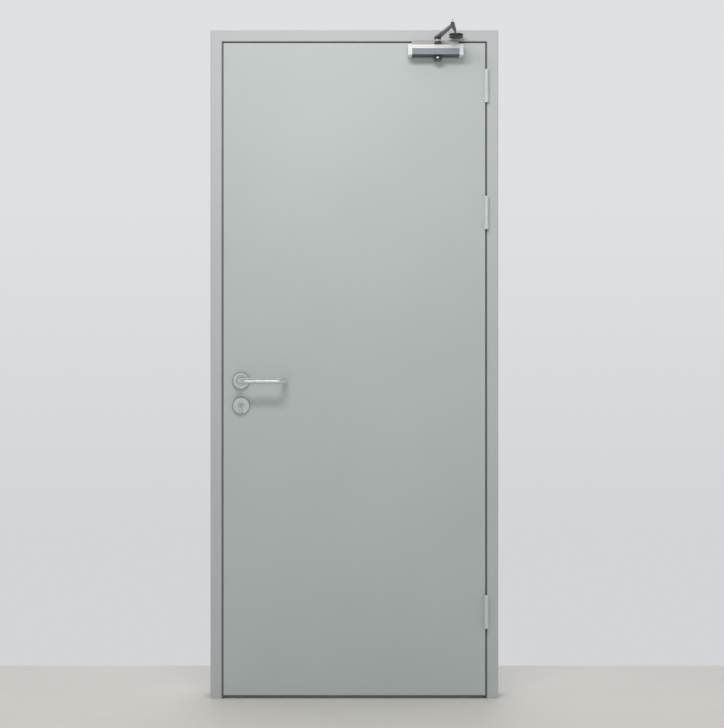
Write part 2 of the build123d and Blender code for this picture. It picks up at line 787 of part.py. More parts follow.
with BuildPart() as closer_shoe:
    with Locations((shoe_pivot[0], plate_front_y, lower_lug_z)):
        Box(
            shoe_web_width,
            shoe_web_thickness,
            clevis_height,
            align=(Align.CENTER, Align.MAX, Align.MIN),
        )
    for lug_z, lug_thickness in (
        (lower_lug_z, lower_lug_thickness),
        (upper_lug_z, upper_lug_thickness),
    ):
        with BuildSketch(Plane.XY.offset(lug_z)):
            with Locations(shoe_pivot):
                Circle(shoe_lug_radius)
            with Locations((shoe_pivot[0], plate_front_y)):
                Rectangle(
                    shoe_web_width,
                    plate_front_y - shoe_pivot[1],
                    align=(Align.CENTER, Align.MAX),
                )
        extrude(amount=lug_thickness)
    with Locations((*shoe_pivot, lower_lug_z)):
        Cylinder(
            shoe_pin_radius + running_fit,
            clevis_height,
            align=(Align.CENTER, Align.CENTER, Align.MIN),
            mode=Mode.SUBTRACT,
        )
closer_shoe.part.label = "closer_shoe"
export_step(closer_shoe.part, "parts/closer_shoe.step")

with BuildPart() as shoe_pin:
    with Locations((*shoe_pivot, lower_lug_z)):
        Cylinder(
            shoe_pin_radius,
            clevis_height,
            align=(Align.CENTER, Align.CENTER, Align.MIN),
        )
shoe_pin.part.label = "shoe_pin"
export_step(shoe_pin.part, "parts/shoe_pin.step")
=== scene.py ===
import math

import bmesh
import bpy
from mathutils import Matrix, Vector


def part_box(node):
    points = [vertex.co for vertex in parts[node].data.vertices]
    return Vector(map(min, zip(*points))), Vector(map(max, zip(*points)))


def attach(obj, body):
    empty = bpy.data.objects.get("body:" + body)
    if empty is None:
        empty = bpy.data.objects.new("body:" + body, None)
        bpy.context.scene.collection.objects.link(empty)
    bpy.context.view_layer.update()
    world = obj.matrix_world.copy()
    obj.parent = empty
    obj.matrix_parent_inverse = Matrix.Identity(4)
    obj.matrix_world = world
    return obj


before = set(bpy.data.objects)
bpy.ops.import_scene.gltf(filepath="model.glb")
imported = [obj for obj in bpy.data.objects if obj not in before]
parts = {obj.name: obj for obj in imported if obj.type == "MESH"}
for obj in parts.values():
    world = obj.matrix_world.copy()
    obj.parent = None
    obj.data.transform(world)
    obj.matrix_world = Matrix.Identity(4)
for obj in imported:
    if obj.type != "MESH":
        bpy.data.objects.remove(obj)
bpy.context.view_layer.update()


# Door frame: jambs and head folded from 2 mm steel sheet, mitred, welded and ground flush at the corners.
# Each member is a front channel with a stop channel welded behind it. Sprayed light grey in a satin enamel
# that dries with a faint orange peel.
def enamel(name, pale, deep, sheen_low, sheen_high, peel):
    """Sprayed paint: a slow drift between two tones, uneven gloss and a fine peel in its surface."""
    paint = bpy.data.materials.new(name)
    paint.use_nodes = True
    nodes, links = paint.node_tree.nodes, paint.node_tree.links
    surface = nodes["Principled BSDF"]
    place = nodes.new("ShaderNodeTexCoord")
    drift = nodes.new("ShaderNodeTexNoise")
    drift.inputs["Scale"].default_value = 2.4
    drift.inputs["Detail"].default_value = 4.0
    tones = nodes.new("ShaderNodeValToRGB")
    tones.color_ramp.elements[0].position = 0.30
    tones.color_ramp.elements[0].color = (*deep, 1.0)
    tones.color_ramp.elements[1].position = 0.70
    tones.color_ramp.elements[1].color = (*pale, 1.0)
    cloud = nodes.new("ShaderNodeTexNoise")
    cloud.inputs["Scale"].default_value = 14.0
    cloud.inputs["Detail"].default_value = 3.0
    gloss = nodes.new("ShaderNodeMapRange")
    gloss.inputs["To Min"].default_value = sheen_low
    gloss.inputs["To Max"].default_value = sheen_high
    grain = nodes.new("ShaderNodeTexNoise")
    grain.inputs["Scale"].default_value = 620.0
    grain.inputs["Detail"].default_value = 2.0
    skin = nodes.new("ShaderNodeBump")
    skin.inputs["Strength"].default_value = peel
    skin.inputs["Distance"].default_value = 0.0004
    for texture in (drift, cloud, grain):
        links.new(place.outputs["Object"], texture.inputs["Vector"])
    links.new(drift.outputs["Fac"], tones.inputs["Fac"])
    links.new(tones.outputs["Color"], surface.inputs["Base Color"])
    links.new(cloud.outputs["Fac"], gloss.inputs["Value"])
    links.new(gloss.outputs["Result"], surface.inputs["Roughness"])
    links.new(grain.outputs["Fac"], skin.inputs["Height"])
    links.new(skin.outputs["Normal"], surface.inputs["Normal"])
    return paint


def finish_nodes(material, *names):
    """Gives CAD nodes a finish in their own material slots."""
    for name in names:
        for held in parts[name].material_slots:
            held.material = material


frame_enamel = enamel("frame_enamel", (0.530, 0.550, 0.560), (0.505, 0.525, 0.535), 0.38, 0.50, 0.10)
finish_nodes(
    frame_enamel,
    "hinge_jamb", "lock_jamb", "frame_head",
    "hinge_jamb_stop", "lock_jamb_stop", "frame_head_stop",
)

# Smoke seals: one length of grey rubber pressed on the stop faces round the rebate, where the closed leaf
# covers it, and a strip under the leaf that brushes the floor.
seal_rubber = enamel("seal_rubber", (0.320, 0.320, 0.312), (0.275, 0.275, 0.268), 0.55, 0.72, 0.25)
finish_nodes(seal_rubber, "rebate_seal", "leaf_bottom_seal")


# Fire strips: flat grey strips of a mix that swells in a fire, glued to the reveals just behind the frame's
# face. They run up both sides of the leaf and over it, with breaks at the hinges.
def bevelled_box(size, edge):
    """A box about the origin, with its edges rounded off."""
    box = bmesh.new()
    bmesh.ops.create_cube(box, size=1.0)
    bmesh.ops.scale(box, verts=box.verts, vec=size)
    bmesh.ops.bevel(
        box, geom=box.edges, offset=edge, segments=2, profile=0.5, affect="EDGES", material=-1
    )
    return box


def place_piece(name, mesh, centre, facing, material, body):
    """Turns a bmesh from +Z to its facing, sets it at its centre and makes it a piece of a body."""
    crease_angle = math.radians(35)
    turn = Vector((0, 0, 1)).rotation_difference(Vector(facing)).to_matrix()
    bmesh.ops.rotate(mesh, verts=mesh.verts, cent=(0, 0, 0), matrix=turn)
    bmesh.ops.translate(mesh, verts=mesh.verts, vec=centre)
    bmesh.ops.recalc_face_normals(mesh, faces=mesh.faces)
    data = bpy.data.meshes.new(name)
    mesh.to_mesh(data)
    mesh.free()
    data.shade_smooth()
    data.set_sharp_from_angle(angle=crease_angle)
    piece = bpy.data.objects.new(name, data)
    data.materials.append(material)
    bpy.context.scene.collection.objects.link(piece)
    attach(piece, body)
    return piece


strip_grey = enamel("strip_grey", (0.225, 0.228, 0.230), (0.195, 0.198, 0.200), 0.50, 0.66, 0.20)
strip_thickness, lock_strip_thickness, strip_width = 0.0022, 0.0032, 0.010
strip_set_back, strip_end_gap, strip_edge = 0.0015, 0.002, 0.0004
jamb_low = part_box("hinge_jamb")[0]
lock_jamb_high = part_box("lock_jamb")[1]
head_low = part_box("frame_head")[0]
strip_front = jamb_low.y + strip_set_back
hinge_levels = ("lower", "middle", "upper")
strip_ends = [strip_end_gap]
for level in hinge_levels:
    half_low, half_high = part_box(f"{level}_hinge_frame_half")
    strip_ends += [half_low.z - strip_end_gap, half_high.z + strip_end_gap]
strip_ends.append(head_low.z - strip_end_gap)
strip_boxes = {
    "lock": ((lock_jamb_high.x, strip_end_gap), (lock_jamb_high.x + lock_strip_thickness, head_low.z)),
    "head": (
        (lock_jamb_high.x + lock_strip_thickness, head_low.z - strip_thickness), (jamb_low.x, head_low.z)
    ),
}
for run, (foot, top) in enumerate(zip(strip_ends[::2], strip_ends[1::2]), 1):
    strip_boxes[f"hinge_{run}"] = ((jamb_low.x - strip_thickness, foot), (jamb_low.x, top))
for place, ((x_low, z_low), (x_high, z_high)) in strip_boxes.items():
    strip = bevelled_box((x_high - x_low, strip_width, z_high - z_low), strip_edge)
    strip_centre = ((x_low + x_high) / 2, strip_front + strip_width / 2, (z_low + z_high) / 2)
    place_piece(f"fire_strip_{place}", strip, strip_centre, (0, 0, 1), strip_grey, "frame")

# Foot plates and wall anchors: cut from hot-dip galvanised strip, with the spangle of the zinc left bare
# because the wall hides them.
galvanised = bpy.data.materials.new("galvanised_strip")
galvanised.use_nodes = True
zinc_nodes, zinc_links = galvanised.node_tree.nodes, galvanised.node_tree.links
zinc = zinc_nodes["Principled BSDF"]
zinc.inputs["Metallic"].default_value = 1.0
zinc_place = zinc_nodes.new("ShaderNodeTexCoord")
spangle = zinc_nodes.new("ShaderNodeTexVoronoi")
spangle.inputs["Scale"].default_value = 130.0
spangle_tones = zinc_nodes.new("ShaderNodeValToRGB")
spangle_tones.color_ramp.elements[0].color = (0.40, 0.42, 0.44, 1.0)
spangle_tones.color_ramp.elements[1].color = (0.62, 0.64, 0.66, 1.0)
spangle_gloss = zinc_nodes.new("ShaderNodeMapRange")
spangle_gloss.inputs["To Min"].default_value = 0.34
spangle_gloss.inputs["To Max"].default_value = 0.58
zinc_links.new(zinc_place.outputs["Object"], spangle.inputs["Vector"])
zinc_links.new(spangle.outputs["Color"], spangle_tones.inputs["Fac"])
zinc_links.new(spangle_tones.outputs["Color"], zinc.inputs["Base Color"])
zinc_links.new(spangle.outputs["Color"], spangle_gloss.inputs["Value"])
zinc_links.new(spangle_gloss.outputs["Result"], zinc.inputs["Roughness"])
finish_nodes(galvanised, "hinge_jamb_foot", "lock_jamb_foot", "hinge_side_anchors", "lock_side_anchors")


# Strike plate: a stainless plate let flush into the lock jamb, brushed along its length and held by two
# countersunk screws with cross recesses.
def brushed_steel(name, bright, dull, fine, rough, grain_scale, metal=1.0, bite=0.025):
    """Worked metal: a grain in its tone, gloss and surface, drawn out along an axis whose scale is low."""
    steel = bpy.data.materials.new(name)
    steel.use_nodes = True
    nodes, links = steel.node_tree.nodes, steel.node_tree.links
    surface = nodes["Principled BSDF"]
    surface.inputs["Metallic"].default_value = metal
    place = nodes.new("ShaderNodeTexCoord")
    stroke = nodes.new("ShaderNodeMapping")
    stroke.inputs["Scale"].default_value = grain_scale
    scratches = nodes.new("ShaderNodeTexNoise")
    scratches.inputs["Scale"].default_value = 1.0
    scratches.inputs["Detail"].default_value = 6.0
    tones = nodes.new("ShaderNodeValToRGB")
    tones.color_ramp.elements[0].position = 0.32
    tones.color_ramp.elements[0].color = (*dull, 1.0)
    tones.color_ramp.elements[1].position = 0.68
    tones.color_ramp.elements[1].color = (*bright, 1.0)
    gloss = nodes.new("ShaderNodeMapRange")
    gloss.inputs["To Min"].default_value = fine
    gloss.inputs["To Max"].default_value = rough
    tooth = nodes.new("ShaderNodeBump")
    tooth.inputs["Strength"].default_value = bite
    tooth.inputs["Distance"].default_value = 0.0002
    links.new(place.outputs["Object"], stroke.inputs["Vector"])
    links.new(stroke.outputs["Vector"], scratches.inputs["Vector"])
    links.new(scratches.outputs["Fac"], tones.inputs["Fac"])
    links.new(tones.outputs["Color"], surface.inputs["Base Color"])
    links.new(scratches.outputs["Fac"], gloss.inputs["Value"])
    links.new(gloss.outputs["Result"], surface.inputs["Roughness"])
    links.new(scratches.outputs["Fac"], tooth.inputs["Height"])
    links.new(tooth.outputs["Normal"], surface.inputs["Normal"])
    return steel


def cross_screw(name, centre, facing, radius, material, body):
    """A countersunk screw head with a cross recess, its rim just proud of the plate it holds."""
    sink, proud = 0.7 * radius, 0.00025
    shank_radius, rim_width = 0.45 * radius, 0.28 * radius
    half_slot, recess_depth = 0.15 * radius, 0.35 * radius
    head = bmesh.new()
    bmesh.ops.create_cone(
        head, cap_ends=True, segments=24, radius1=shank_radius, radius2=radius, depth=sink
    )
    bmesh.ops.translate(head, verts=head.verts, vec=(0, 0, proud - sink / 2))
    top = max(head.faces, key=lambda face: face.calc_center_median().z)
    bmesh.ops.inset_region(head, faces=[top], thickness=rim_width)
    dial = [top]
    for across in (Vector((1, 0, 0)), Vector((0, 1, 0))):
        for side in (-half_slot, half_slot):
            touched = set(dial)
            for face in dial:
                touched.update(face.edges)
                touched.update(face.verts)
            cut = bmesh.ops.bisect_plane(
                head, geom=list(touched), plane_co=side * across, plane_no=across
            )
            dial = [item for item in cut["geom"] if isinstance(item, bmesh.types.BMFace)]
    recess = [
        face for face in dial
        if min(abs(face.calc_center_median().x), abs(face.calc_center_median().y)) < half_slot
    ]
    sunk = bmesh.ops.extrude_face_region(head, geom=recess)
    floor_verts = [item for item in sunk["geom"] if isinstance(item, bmesh.types.BMVert)]
    bmesh.ops.translate(head, verts=floor_verts, vec=(0, 0, -recess_depth))
    return place_piece(name, head, centre, facing, material, body)


strike_steel = brushed_steel(
    "strike_steel", (0.62, 0.62, 0.61), (0.50, 0.50, 0.50), 0.26, 0.44, (900.0, 900.0, 60.0)
)
finish_nodes(strike_steel, "strike_plate")
strike_low, strike_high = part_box("strike_plate")
strike_middle = (strike_low + strike_high) / 2
plate_screw_radius, screw_margin = 0.0042, 0.011
for end, height in (("lower", strike_low.z + screw_margin), ("upper", strike_high.z - screw_margin)):
    cross_screw(
        f"strike_{end}_screw", (strike_high.x, strike_middle.y, height), (1, 0, 0), plate_screw_radius,
        strike_steel, "frame",
    )

# Hinges: zinc-plated butt hinges with rolled knuckles on a steel pin. Each half is let into its edge and
# held by four countersunk screws, which show when the door stands open.
hinge_zinc = brushed_steel(
    "hinge_zinc", (0.69, 0.72, 0.71), (0.65, 0.68, 0.67), 0.26, 0.34, (1400.0, 1400.0, 90.0), metal=0.18
)
hinge_screw_radius, hinge_screw_insets = 0.0042, (0.024, 0.010)
hinge_screw_heights = (0.12, 0.37, 0.63, 0.88)
core_to_edge = 0.002
leaf_edge_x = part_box("leaf_core")[1].x + core_to_edge
for level in hinge_levels:
    finish_nodes(
        hinge_zinc, f"{level}_hinge_frame_half", f"{level}_hinge_leaf_half", f"{level}_hinge_pin"
    )
    for body, reveal_x, facing in (("frame", jamb_low.x, -1), ("leaf", leaf_edge_x, 1)):
        half_low, half_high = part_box(f"{level}_hinge_{body}_half")
        for row, share in enumerate(hinge_screw_heights):
            screw_y = half_high.y - hinge_screw_insets[row % 2]
            screw_z = half_low.z + share * (half_high.z - half_low.z)
            cross_screw(
                f"{level}_hinge_{body}_screw_{row + 1}", (reveal_x, screw_y, screw_z), (facing, 0, 0),
                hinge_screw_radius, hinge_zinc, body,
            )

# Leaf: a tray folded from 1.5 mm steel with a flat back sheet, glued and spot-welded round a slab of
# mineral wool, then sprayed on all faces in a light grey-green enamel.
leaf_enamel = enamel("leaf_enamel", (0.522, 0.566, 0.552), (0.498, 0.540, 0.527), 0.40, 0.52, 0.10)
finish_nodes(leaf_enamel, "leaf_front_tray", "leaf_back_sheet")
wool = enamel("mineral_wool", (0.46, 0.40, 0.24), (0.30, 0.25, 0.13), 0.85, 0.98, 1.0)
finish_nodes(wool, "leaf_core")

# Mortise lock: a stainless forend let into the bevelled lock edge with two countersunk screws. The latch and
# the bolt are nickelled and drawn in, so that only their faces show in the forend's openings.
lock_steel = brushed_steel(
    "lock_steel", (0.64, 0.64, 0.63), (0.52, 0.52, 0.52), 0.26, 0.44, (900.0, 900.0, 60.0)
)
finish_nodes(lock_steel, "mortise_lock")
lock_low, lock_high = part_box("mortise_lock")
leaf_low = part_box("leaf_front_tray")[0]
sheet_low, sheet_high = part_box("leaf_back_sheet")
leaf_middle_y = (leaf_low.y + sheet_high.y) / 2
bevel_middle_x = (leaf_low.x + sheet_low.x) / 2
lock_edge_slope = 0.06
forend_facing = Vector((-1.0, lock_edge_slope, 0.0)).normalized()
for end, height in (("lower", lock_low.z + screw_margin), ("upper", lock_high.z - screw_margin)):
    cross_screw(
        f"forend_{end}_screw", (bevel_middle_x, leaf_middle_y, height), forend_facing, plate_screw_radius,
        lock_steel, "leaf",
    )
nickel = brushed_steel(
    "nickel_plate", (0.37, 0.375, 0.375), (0.33, 0.335, 0.335), 0.32, 0.42, (900.0, 900.0, 900.0),
    bite=0.010,
)
lever_low, lever_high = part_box("front_lever")
escutcheon_low, escutcheon_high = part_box("front_escutcheon")
spindle_z = (lever_low.z + lever_high.z) / 2
cylinder_z = (escutcheon_low.z + escutcheon_high.z) / 2
latch_length, bolt_length, bolt_width = 0.0272, 0.0372, 0.0112
bolt_face_depth, bolt_face_edge, opening_depth = 0.0005, 0.00015, 0.0006
for bolt, length, height in (("latch", latch_length, spindle_z), ("bolt", bolt_length, cylinder_z)):
    face = bevelled_box((length, bolt_width, bolt_face_depth), bolt_face_edge)
    seat = Vector((bevel_middle_x, leaf_middle_y, height))
    seat += forend_facing * (bolt_face_depth / 2 - opening_depth)
    place_piece(f"{bolt}_face", face, seat, forend_facing, nickel, "leaf")


# Roses, escutcheons and cylinder: stainless discs turned on a lathe and clipped over their fixing plates,
# and a nickel-plated brass cylinder through the leaf. Each of its ends shows the ring of the turning plug,
# and a near-black plate set back in its keyway is painted shade for the dark inside of the keyway.
def turned_steel(name, axis_x, axis_z, bright, dull):
    """Steel turned about a line along Y: fine rings in its tone, its gloss and its surface."""
    steel = bpy.data.materials.new(name)
    steel.use_nodes = True
    nodes, links = steel.node_tree.nodes, steel.node_tree.links
    surface = nodes["Principled BSDF"]
    surface.inputs["Metallic"].default_value = 1.0
    place = nodes.new("ShaderNodeTexCoord")
    centring = nodes.new("ShaderNodeMapping")
    centring.inputs["Location"].default_value = (-axis_x, 0.0, -axis_z)
    rings = nodes.new("ShaderNodeTexWave")
    rings.wave_type = "RINGS"
    rings.rings_direction = "Y"
    rings.inputs["Scale"].default_value = 420.0
    rings.inputs["Distortion"].default_value = 1.5
    rings.inputs["Detail"].default_value = 3.0
    tones = nodes.new("ShaderNodeValToRGB")
    tones.color_ramp.elements[0].color = (*dull, 1.0)
    tones.color_ramp.elements[1].color = (*bright, 1.0)
    gloss = nodes.new("ShaderNodeMapRange")
    gloss.inputs["To Min"].default_value = 0.36
    gloss.inputs["To Max"].default_value = 0.50
    tooth = nodes.new("ShaderNodeBump")
    tooth.inputs["Strength"].default_value = 0.05
    tooth.inputs["Distance"].default_value = 0.0002
    links.new(place.outputs["Object"], centring.inputs["Vector"])
    links.new(centring.outputs["Vector"], rings.inputs["Vector"])
    links.new(rings.outputs["Fac"], tones.inputs["Fac"])
    links.new(tones.outputs["Color"], surface.inputs["Base Color"])
    links.new(rings.outputs["Fac"], gloss.inputs["Value"])
    links.new(gloss.outputs["Result"], surface.inputs["Roughness"])
    links.new(rings.outputs["Fac"], tooth.inputs["Height"])
    links.new(tooth.outputs["Normal"], surface.inputs["Normal"])
    return steel


def turned_piece(name, outline, closed, centre, facing, material, body):
    """Spins an outline of radius and height into a round piece; a closed outline gives a ring."""
    lathe = bmesh.new()
    points = [lathe.verts.new((radius, 0.0, height)) for radius, height in outline]
    turns = list(zip(points, points[1:] + points[:1] if closed else points[1:]))
    runs = [lathe.edges.new(turn) for turn in turns]
    bmesh.ops.spin(
        lathe, geom=points + runs, cent=(0, 0, 0), axis=(0, 0, 1), angle=math.tau, steps=32, use_merge=True
    )
    bmesh.ops.remove_doubles(lathe, verts=lathe.verts, dist=1e-6)
    return place_piece(name, lathe, centre, facing, material, body)


spindle_x = (escutcheon_low.x + escutcheon_high.x) / 2
for place, height in (("rose", spindle_z), ("escutcheon", cylinder_z)):
    finish_nodes(
        turned_steel(f"{place}_steel", spindle_x, height, (0.510, 0.525, 0.531), (0.465, 0.48, 0.484)),
        f"front_{place}", f"back_{place}",
    )
finish_nodes(nickel, "lock_cylinder")
cylinder_low, cylinder_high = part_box("lock_cylinder")
plug_z = cylinder_high.z - (cylinder_high.x - cylinder_low.x) / 2
plug_ring = ((0.0061, -0.0004), (0.0069, -0.0004), (0.0069, 0.0002), (0.0067, 0.0004), (0.0061, 0.0004))
# Painted shade: a near-black plate set back in each keyway stands in for the shade inside it.
keyway_painted_shade = enamel("keyway_painted_shade", (0.030, 0.028, 0.026), (0.018, 0.017, 0.016), 0.50, 0.65, 0.10)
keyway_width, keyway_height = 0.0018, 0.0088
shade_plate_depth, shade_plate_edge, shade_plate_set_back = 0.0030, 0.0001, 0.0006
for side, end_y, facing in (("front", cylinder_low.y, -1), ("back", cylinder_high.y, 1)):
    turned_piece(
        f"{side}_plug_ring", plug_ring, True, (spindle_x, end_y, plug_z), (0, facing, 0),
        nickel, "leaf",
    )
    shade_plate = bevelled_box((keyway_width, keyway_height, shade_plate_depth), shade_plate_edge)
    shade_plate_y = end_y - facing * (shade_plate_set_back + shade_plate_depth / 2)
    place_piece(
        f"{side}_keyway_shade_plate", shade_plate, (spindle_x, shade_plate_y, plug_z), (0, facing, 0),
        keyway_painted_shade, "leaf",
    )


# Levers: 20 mm stainless bar bent twice, so that its end turns back to the leaf, and blasted to a fine
# satin. Both ride on one square spindle, each held by a socket grub screw under its neck.
def socket_screw(name, centre, facing, radius, material, body):
    """A round screw end with a six-sided socket, just proud of its seat."""
    sink, proud = 1.1 * radius, 0.0002
    socket_radius, socket_depth = 0.56 * radius, 0.7 * sink
    head = bmesh.new()
    rim = bmesh.ops.create_circle(head, segments=24, radius=radius)["verts"]
    socket = bmesh.ops.create_circle(head, segments=6, radius=socket_radius)["verts"]
    loops = [list({edge for vert in loop for edge in vert.link_edges}) for loop in (rim, socket)]
    bmesh.ops.bridge_loops(head, edges=loops[0] + loops[1])
    for loop, depth in zip(loops, (sink, socket_depth)):
        wall = bmesh.ops.extrude_edge_only(head, edges=loop)["geom"]
        foot = [item for item in wall if isinstance(item, bmesh.types.BMVert)]
        bmesh.ops.translate(head, verts=foot, vec=(0, 0, -depth))
        bmesh.ops.contextual_create(head, geom=foot)
    bmesh.ops.translate(head, verts=head.verts, vec=(0, 0, proud))
    return place_piece(name, head, centre, facing, material, body)


lever_steel = brushed_steel(
    "lever_steel", (0.81, 0.83, 0.83), (0.78, 0.80, 0.80), 0.25, 0.29, (420.0, 420.0, 420.0), bite=0.004
)
finish_nodes(lever_steel, "front_lever", "back_lever", "lever_spindle")
grub_from_leaf, grub_radius = 0.019, 0.0025
for side, neck_y in (("front", leaf_low.y - grub_from_leaf), ("back", sheet_high.y + grub_from_leaf)):
    socket_screw(
        f"{side}_lever_grub_screw", (spindle_x, neck_y, lever_low.z), (0, 0, -1), grub_radius,
        lock_steel, "lever_set",
    )

# Closer: an aluminium casting on a painted steel mounting plate, sprayed silver-grey. Its colour is graded
# by
# height: the bright upper band is a painted highlight, and the dark underside is painted shade. Bright caps
# are pressed on its ends, and a dark gland and bottom cap close the bearings of its pinion.
plate_enamel = enamel("plate_enamel", (0.432, 0.434, 0.444), (0.410, 0.412, 0.422), 0.34, 0.46, 0.08)
finish_nodes(plate_enamel, "closer_mounting_plate")
closer_silver = bpy.data.materials.new("closer_silver")
closer_silver.use_nodes = True
silver_nodes, silver_links = closer_silver.node_tree.nodes, closer_silver.node_tree.links
silver = silver_nodes["Principled BSDF"]
silver.inputs["Metallic"].default_value = 0.25
silver_place = silver_nodes.new("ShaderNodeTexCoord")
silver_axes = silver_nodes.new("ShaderNodeSeparateXYZ")
body_low, body_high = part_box("closer_body")
up_the_body = silver_nodes.new("ShaderNodeMapRange")
up_the_body.inputs["From Min"].default_value = body_low.z
up_the_body.inputs["From Max"].default_value = body_high.z
# Painted light by height: painted shade on the underside, the grey-blue body tone on the front, and a
# painted highlight on the upper band.
painted_light_bands = silver_nodes.new("ShaderNodeValToRGB")
painted_light_bands.color_ramp.elements[0].position = 0.025
painted_light_bands.color_ramp.elements[0].color = (0.050, 0.062, 0.071, 1.0)
painted_light_bands.color_ramp.elements[1].position = 0.61
painted_light_bands.color_ramp.elements[1].color = (0.97, 0.95, 0.92, 1.0)
for height in (0.055, 0.58):
    painted_light_bands.color_ramp.elements.new(height).color = (0.325, 0.360, 0.385, 1.0)
flake = silver_nodes.new("ShaderNodeTexVoronoi")
flake.inputs["Scale"].default_value = 1400.0
flake_tones = silver_nodes.new("ShaderNodeValToRGB")
flake_tones.color_ramp.elements[0].color = (0.90, 0.90, 0.90, 1.0)
flake_tones.color_ramp.elements[1].color = (1.0, 1.0, 1.0, 1.0)
flake_gloss = silver_nodes.new("ShaderNodeMapRange")
flake_gloss.inputs["To Min"].default_value = 0.34
flake_gloss.inputs["To Max"].default_value = 0.46
flake_on_painted_light = silver_nodes.new("ShaderNodeMix")
flake_on_painted_light.data_type = "RGBA"
flake_on_painted_light.blend_type = "MULTIPLY"
flake_on_painted_light.inputs["Factor"].default_value = 1.0
for texture in (flake, silver_axes):
    silver_links.new(silver_place.outputs["Object"], texture.inputs["Vector"])
silver_links.new(silver_axes.outputs["Z"], up_the_body.inputs["Value"])
silver_links.new(up_the_body.outputs["Result"], painted_light_bands.inputs["Fac"])
silver_links.new(flake.outputs["Color"], flake_tones.inputs["Fac"])
silver_links.new(flake.outputs["Color"], flake_gloss.inputs["Value"])
silver_links.new(painted_light_bands.outputs["Color"], flake_on_painted_light.inputs["A"])
silver_links.new(flake_tones.outputs["Color"], flake_on_painted_light.inputs["B"])
silver_links.new(flake_on_painted_light.outputs["Result"], silver.inputs["Base Color"])
silver_links.new(flake_gloss.outputs["Result"], silver.inputs["Roughness"])
finish_nodes(closer_silver, "closer_body")
cap_bright = enamel("cap_bright", (0.82, 0.83, 0.84), (0.77, 0.78, 0.79), 0.18, 0.28, 0.04)
finish_nodes(cap_bright, "closer_lock_end_cap", "closer_hinge_end_cap")
arm_enamel = enamel("arm_enamel", (0.075, 0.077, 0.080), (0.050, 0.051, 0.054), 0.32, 0.46, 0.12)
finish_nodes(arm_enamel, "closer_bottom_cap")
pinion_low, pinion_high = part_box("closer_arm_spindle")
pinion_x, pinion_y = (pinion_low.x + pinion_high.x) / 2, (pinion_low.y + pinion_high.y) / 2
gland = (
    (0.0073, 0.0), (0.0115, 0.0), (0.0115, 0.0060), (0.0095, 0.0085), (0.0095, 0.0115), (0.0073, 0.0115)
)
turned_piece(
    "closer_gland", gland, True, (pinion_x, pinion_y, body_high.z), (0, 0, 1),
    arm_enamel, "leaf",
)
bottom_cap_low, bottom_cap_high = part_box("closer_bottom_cap")
cap_screw = (
    (0.0, -0.003), (0.0042, -0.003), (0.0042, 0.0008), (0.0036, 0.0016), (0.0018, 0.0021), (0.0, 0.0022)
)
cap_screw_drop = 0.0050
cap_screw_seat = (pinion_x, bottom_cap_low.y, bottom_cap_high.z - cap_screw_drop)
turned_piece(
    "bottom_cap_screw", cap_screw, False, cap_screw_seat, (0, -1, 0), lever_steel, "leaf"
)
cap_low, cap_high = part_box("closer_hinge_end_cap")
valve_screw_radius, valve_depth_share = 0.0034, 0.6
valve_y = cap_low.y + valve_depth_share * (cap_high.y - cap_low.y)
for valve, height_share in (("closing", 0.36), ("latching", 0.68)):
    valve_z = cap_low.z + height_share * (cap_high.z - cap_low.z)
    cross_screw(
        f"{valve}_valve_screw", (cap_high.x, valve_y, valve_z), (1, 0, 0), valve_screw_radius,
        lever_steel, "leaf",
    )

# Folding arm: the main arm and the forearm are pressed from steel bar and painted dark grey. A socket screw
# holds the main arm on the pinion, and a slim bright bolt stands up through the elbow.
finish_nodes(arm_enamel, "closer_main_arm", "closer_forearm")
finish_nodes(hinge_zinc, "closer_arm_spindle")
hub_screw_radius = 0.0045
socket_screw(
    "arm_hub_screw", (pinion_x, pinion_y, pinion_high.z), (0, 0, 1), hub_screw_radius,
    lock_steel, "closer_arm",
)
arm_low, arm_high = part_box("closer_main_arm")
elbow_radius, elbow_lift = 0.006, 0.0039
elbow = Vector((arm_high.x - elbow_radius, arm_low.y + elbow_radius, arm_high.z + elbow_lift))
thread_turns, thread_pitch, thread_root, thread_crest = 12, 0.001, 0.0022, 0.0027
tip_radius, tip_shoulder, tip_height = 0.0016, 0.0128, 0.0130
bolt_outline = [(0.0, 0.0), (thread_root, 0.0)]
for turn in range(thread_turns):
    bolt_outline.append((thread_crest, (turn + 0.5) * thread_pitch))
    bolt_outline.append((thread_root, (turn + 1.0) * thread_pitch))
bolt_outline += [(tip_radius, tip_shoulder), (0.0, tip_height)]
turned_piece(
    "elbow_bolt", bolt_outline, False, elbow, (0, 0, 1), hinge_zinc, "closer_forearm"
)

# Shoe: a painted plate screwed to the frame head, and on it a dark steel clevis whose riveted pin carries
# the forearm's eye.
finish_nodes(frame_enamel, "shoe_plate")
finish_nodes(arm_enamel, "closer_shoe")
finish_nodes(lock_steel, "shoe_pin")
pin_low, pin_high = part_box("shoe_pin")
pin_x, pin_y = (pin_low.x + pin_high.x) / 2, (pin_low.y + pin_high.y) / 2
rivet = (
    (0.0, -0.0002), (0.0055, -0.0002), (0.0055, 0.0004), (0.0046, 0.0011), (0.0026, 0.0016), (0.0, 0.0018)
)
for end, height, facing in (("upper", pin_high.z, 1), ("lower", pin_low.z, -1)):
    turned_piece(
        f"shoe_{end}_rivet", rivet, False, (pin_x, pin_y, height), (0, 0, facing),
        arm_enamel, "frame",
    )
plate_low, plate_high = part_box("shoe_plate")
shoe_screw_radius, shoe_screw_reach = 0.0030, 0.0176
shoe_screw_z = (plate_low.z + plate_high.z) / 2
for side, reach in (("lock_side", -shoe_screw_reach), ("hinge_side", shoe_screw_reach)):
    cross_screw(
        f"shoe_{side}_screw", (pin_x + reach, plate_low.y, shoe_screw_z), (0, -1, 0), shoe_screw_radius,
        hinge_zinc, "frame",
    )

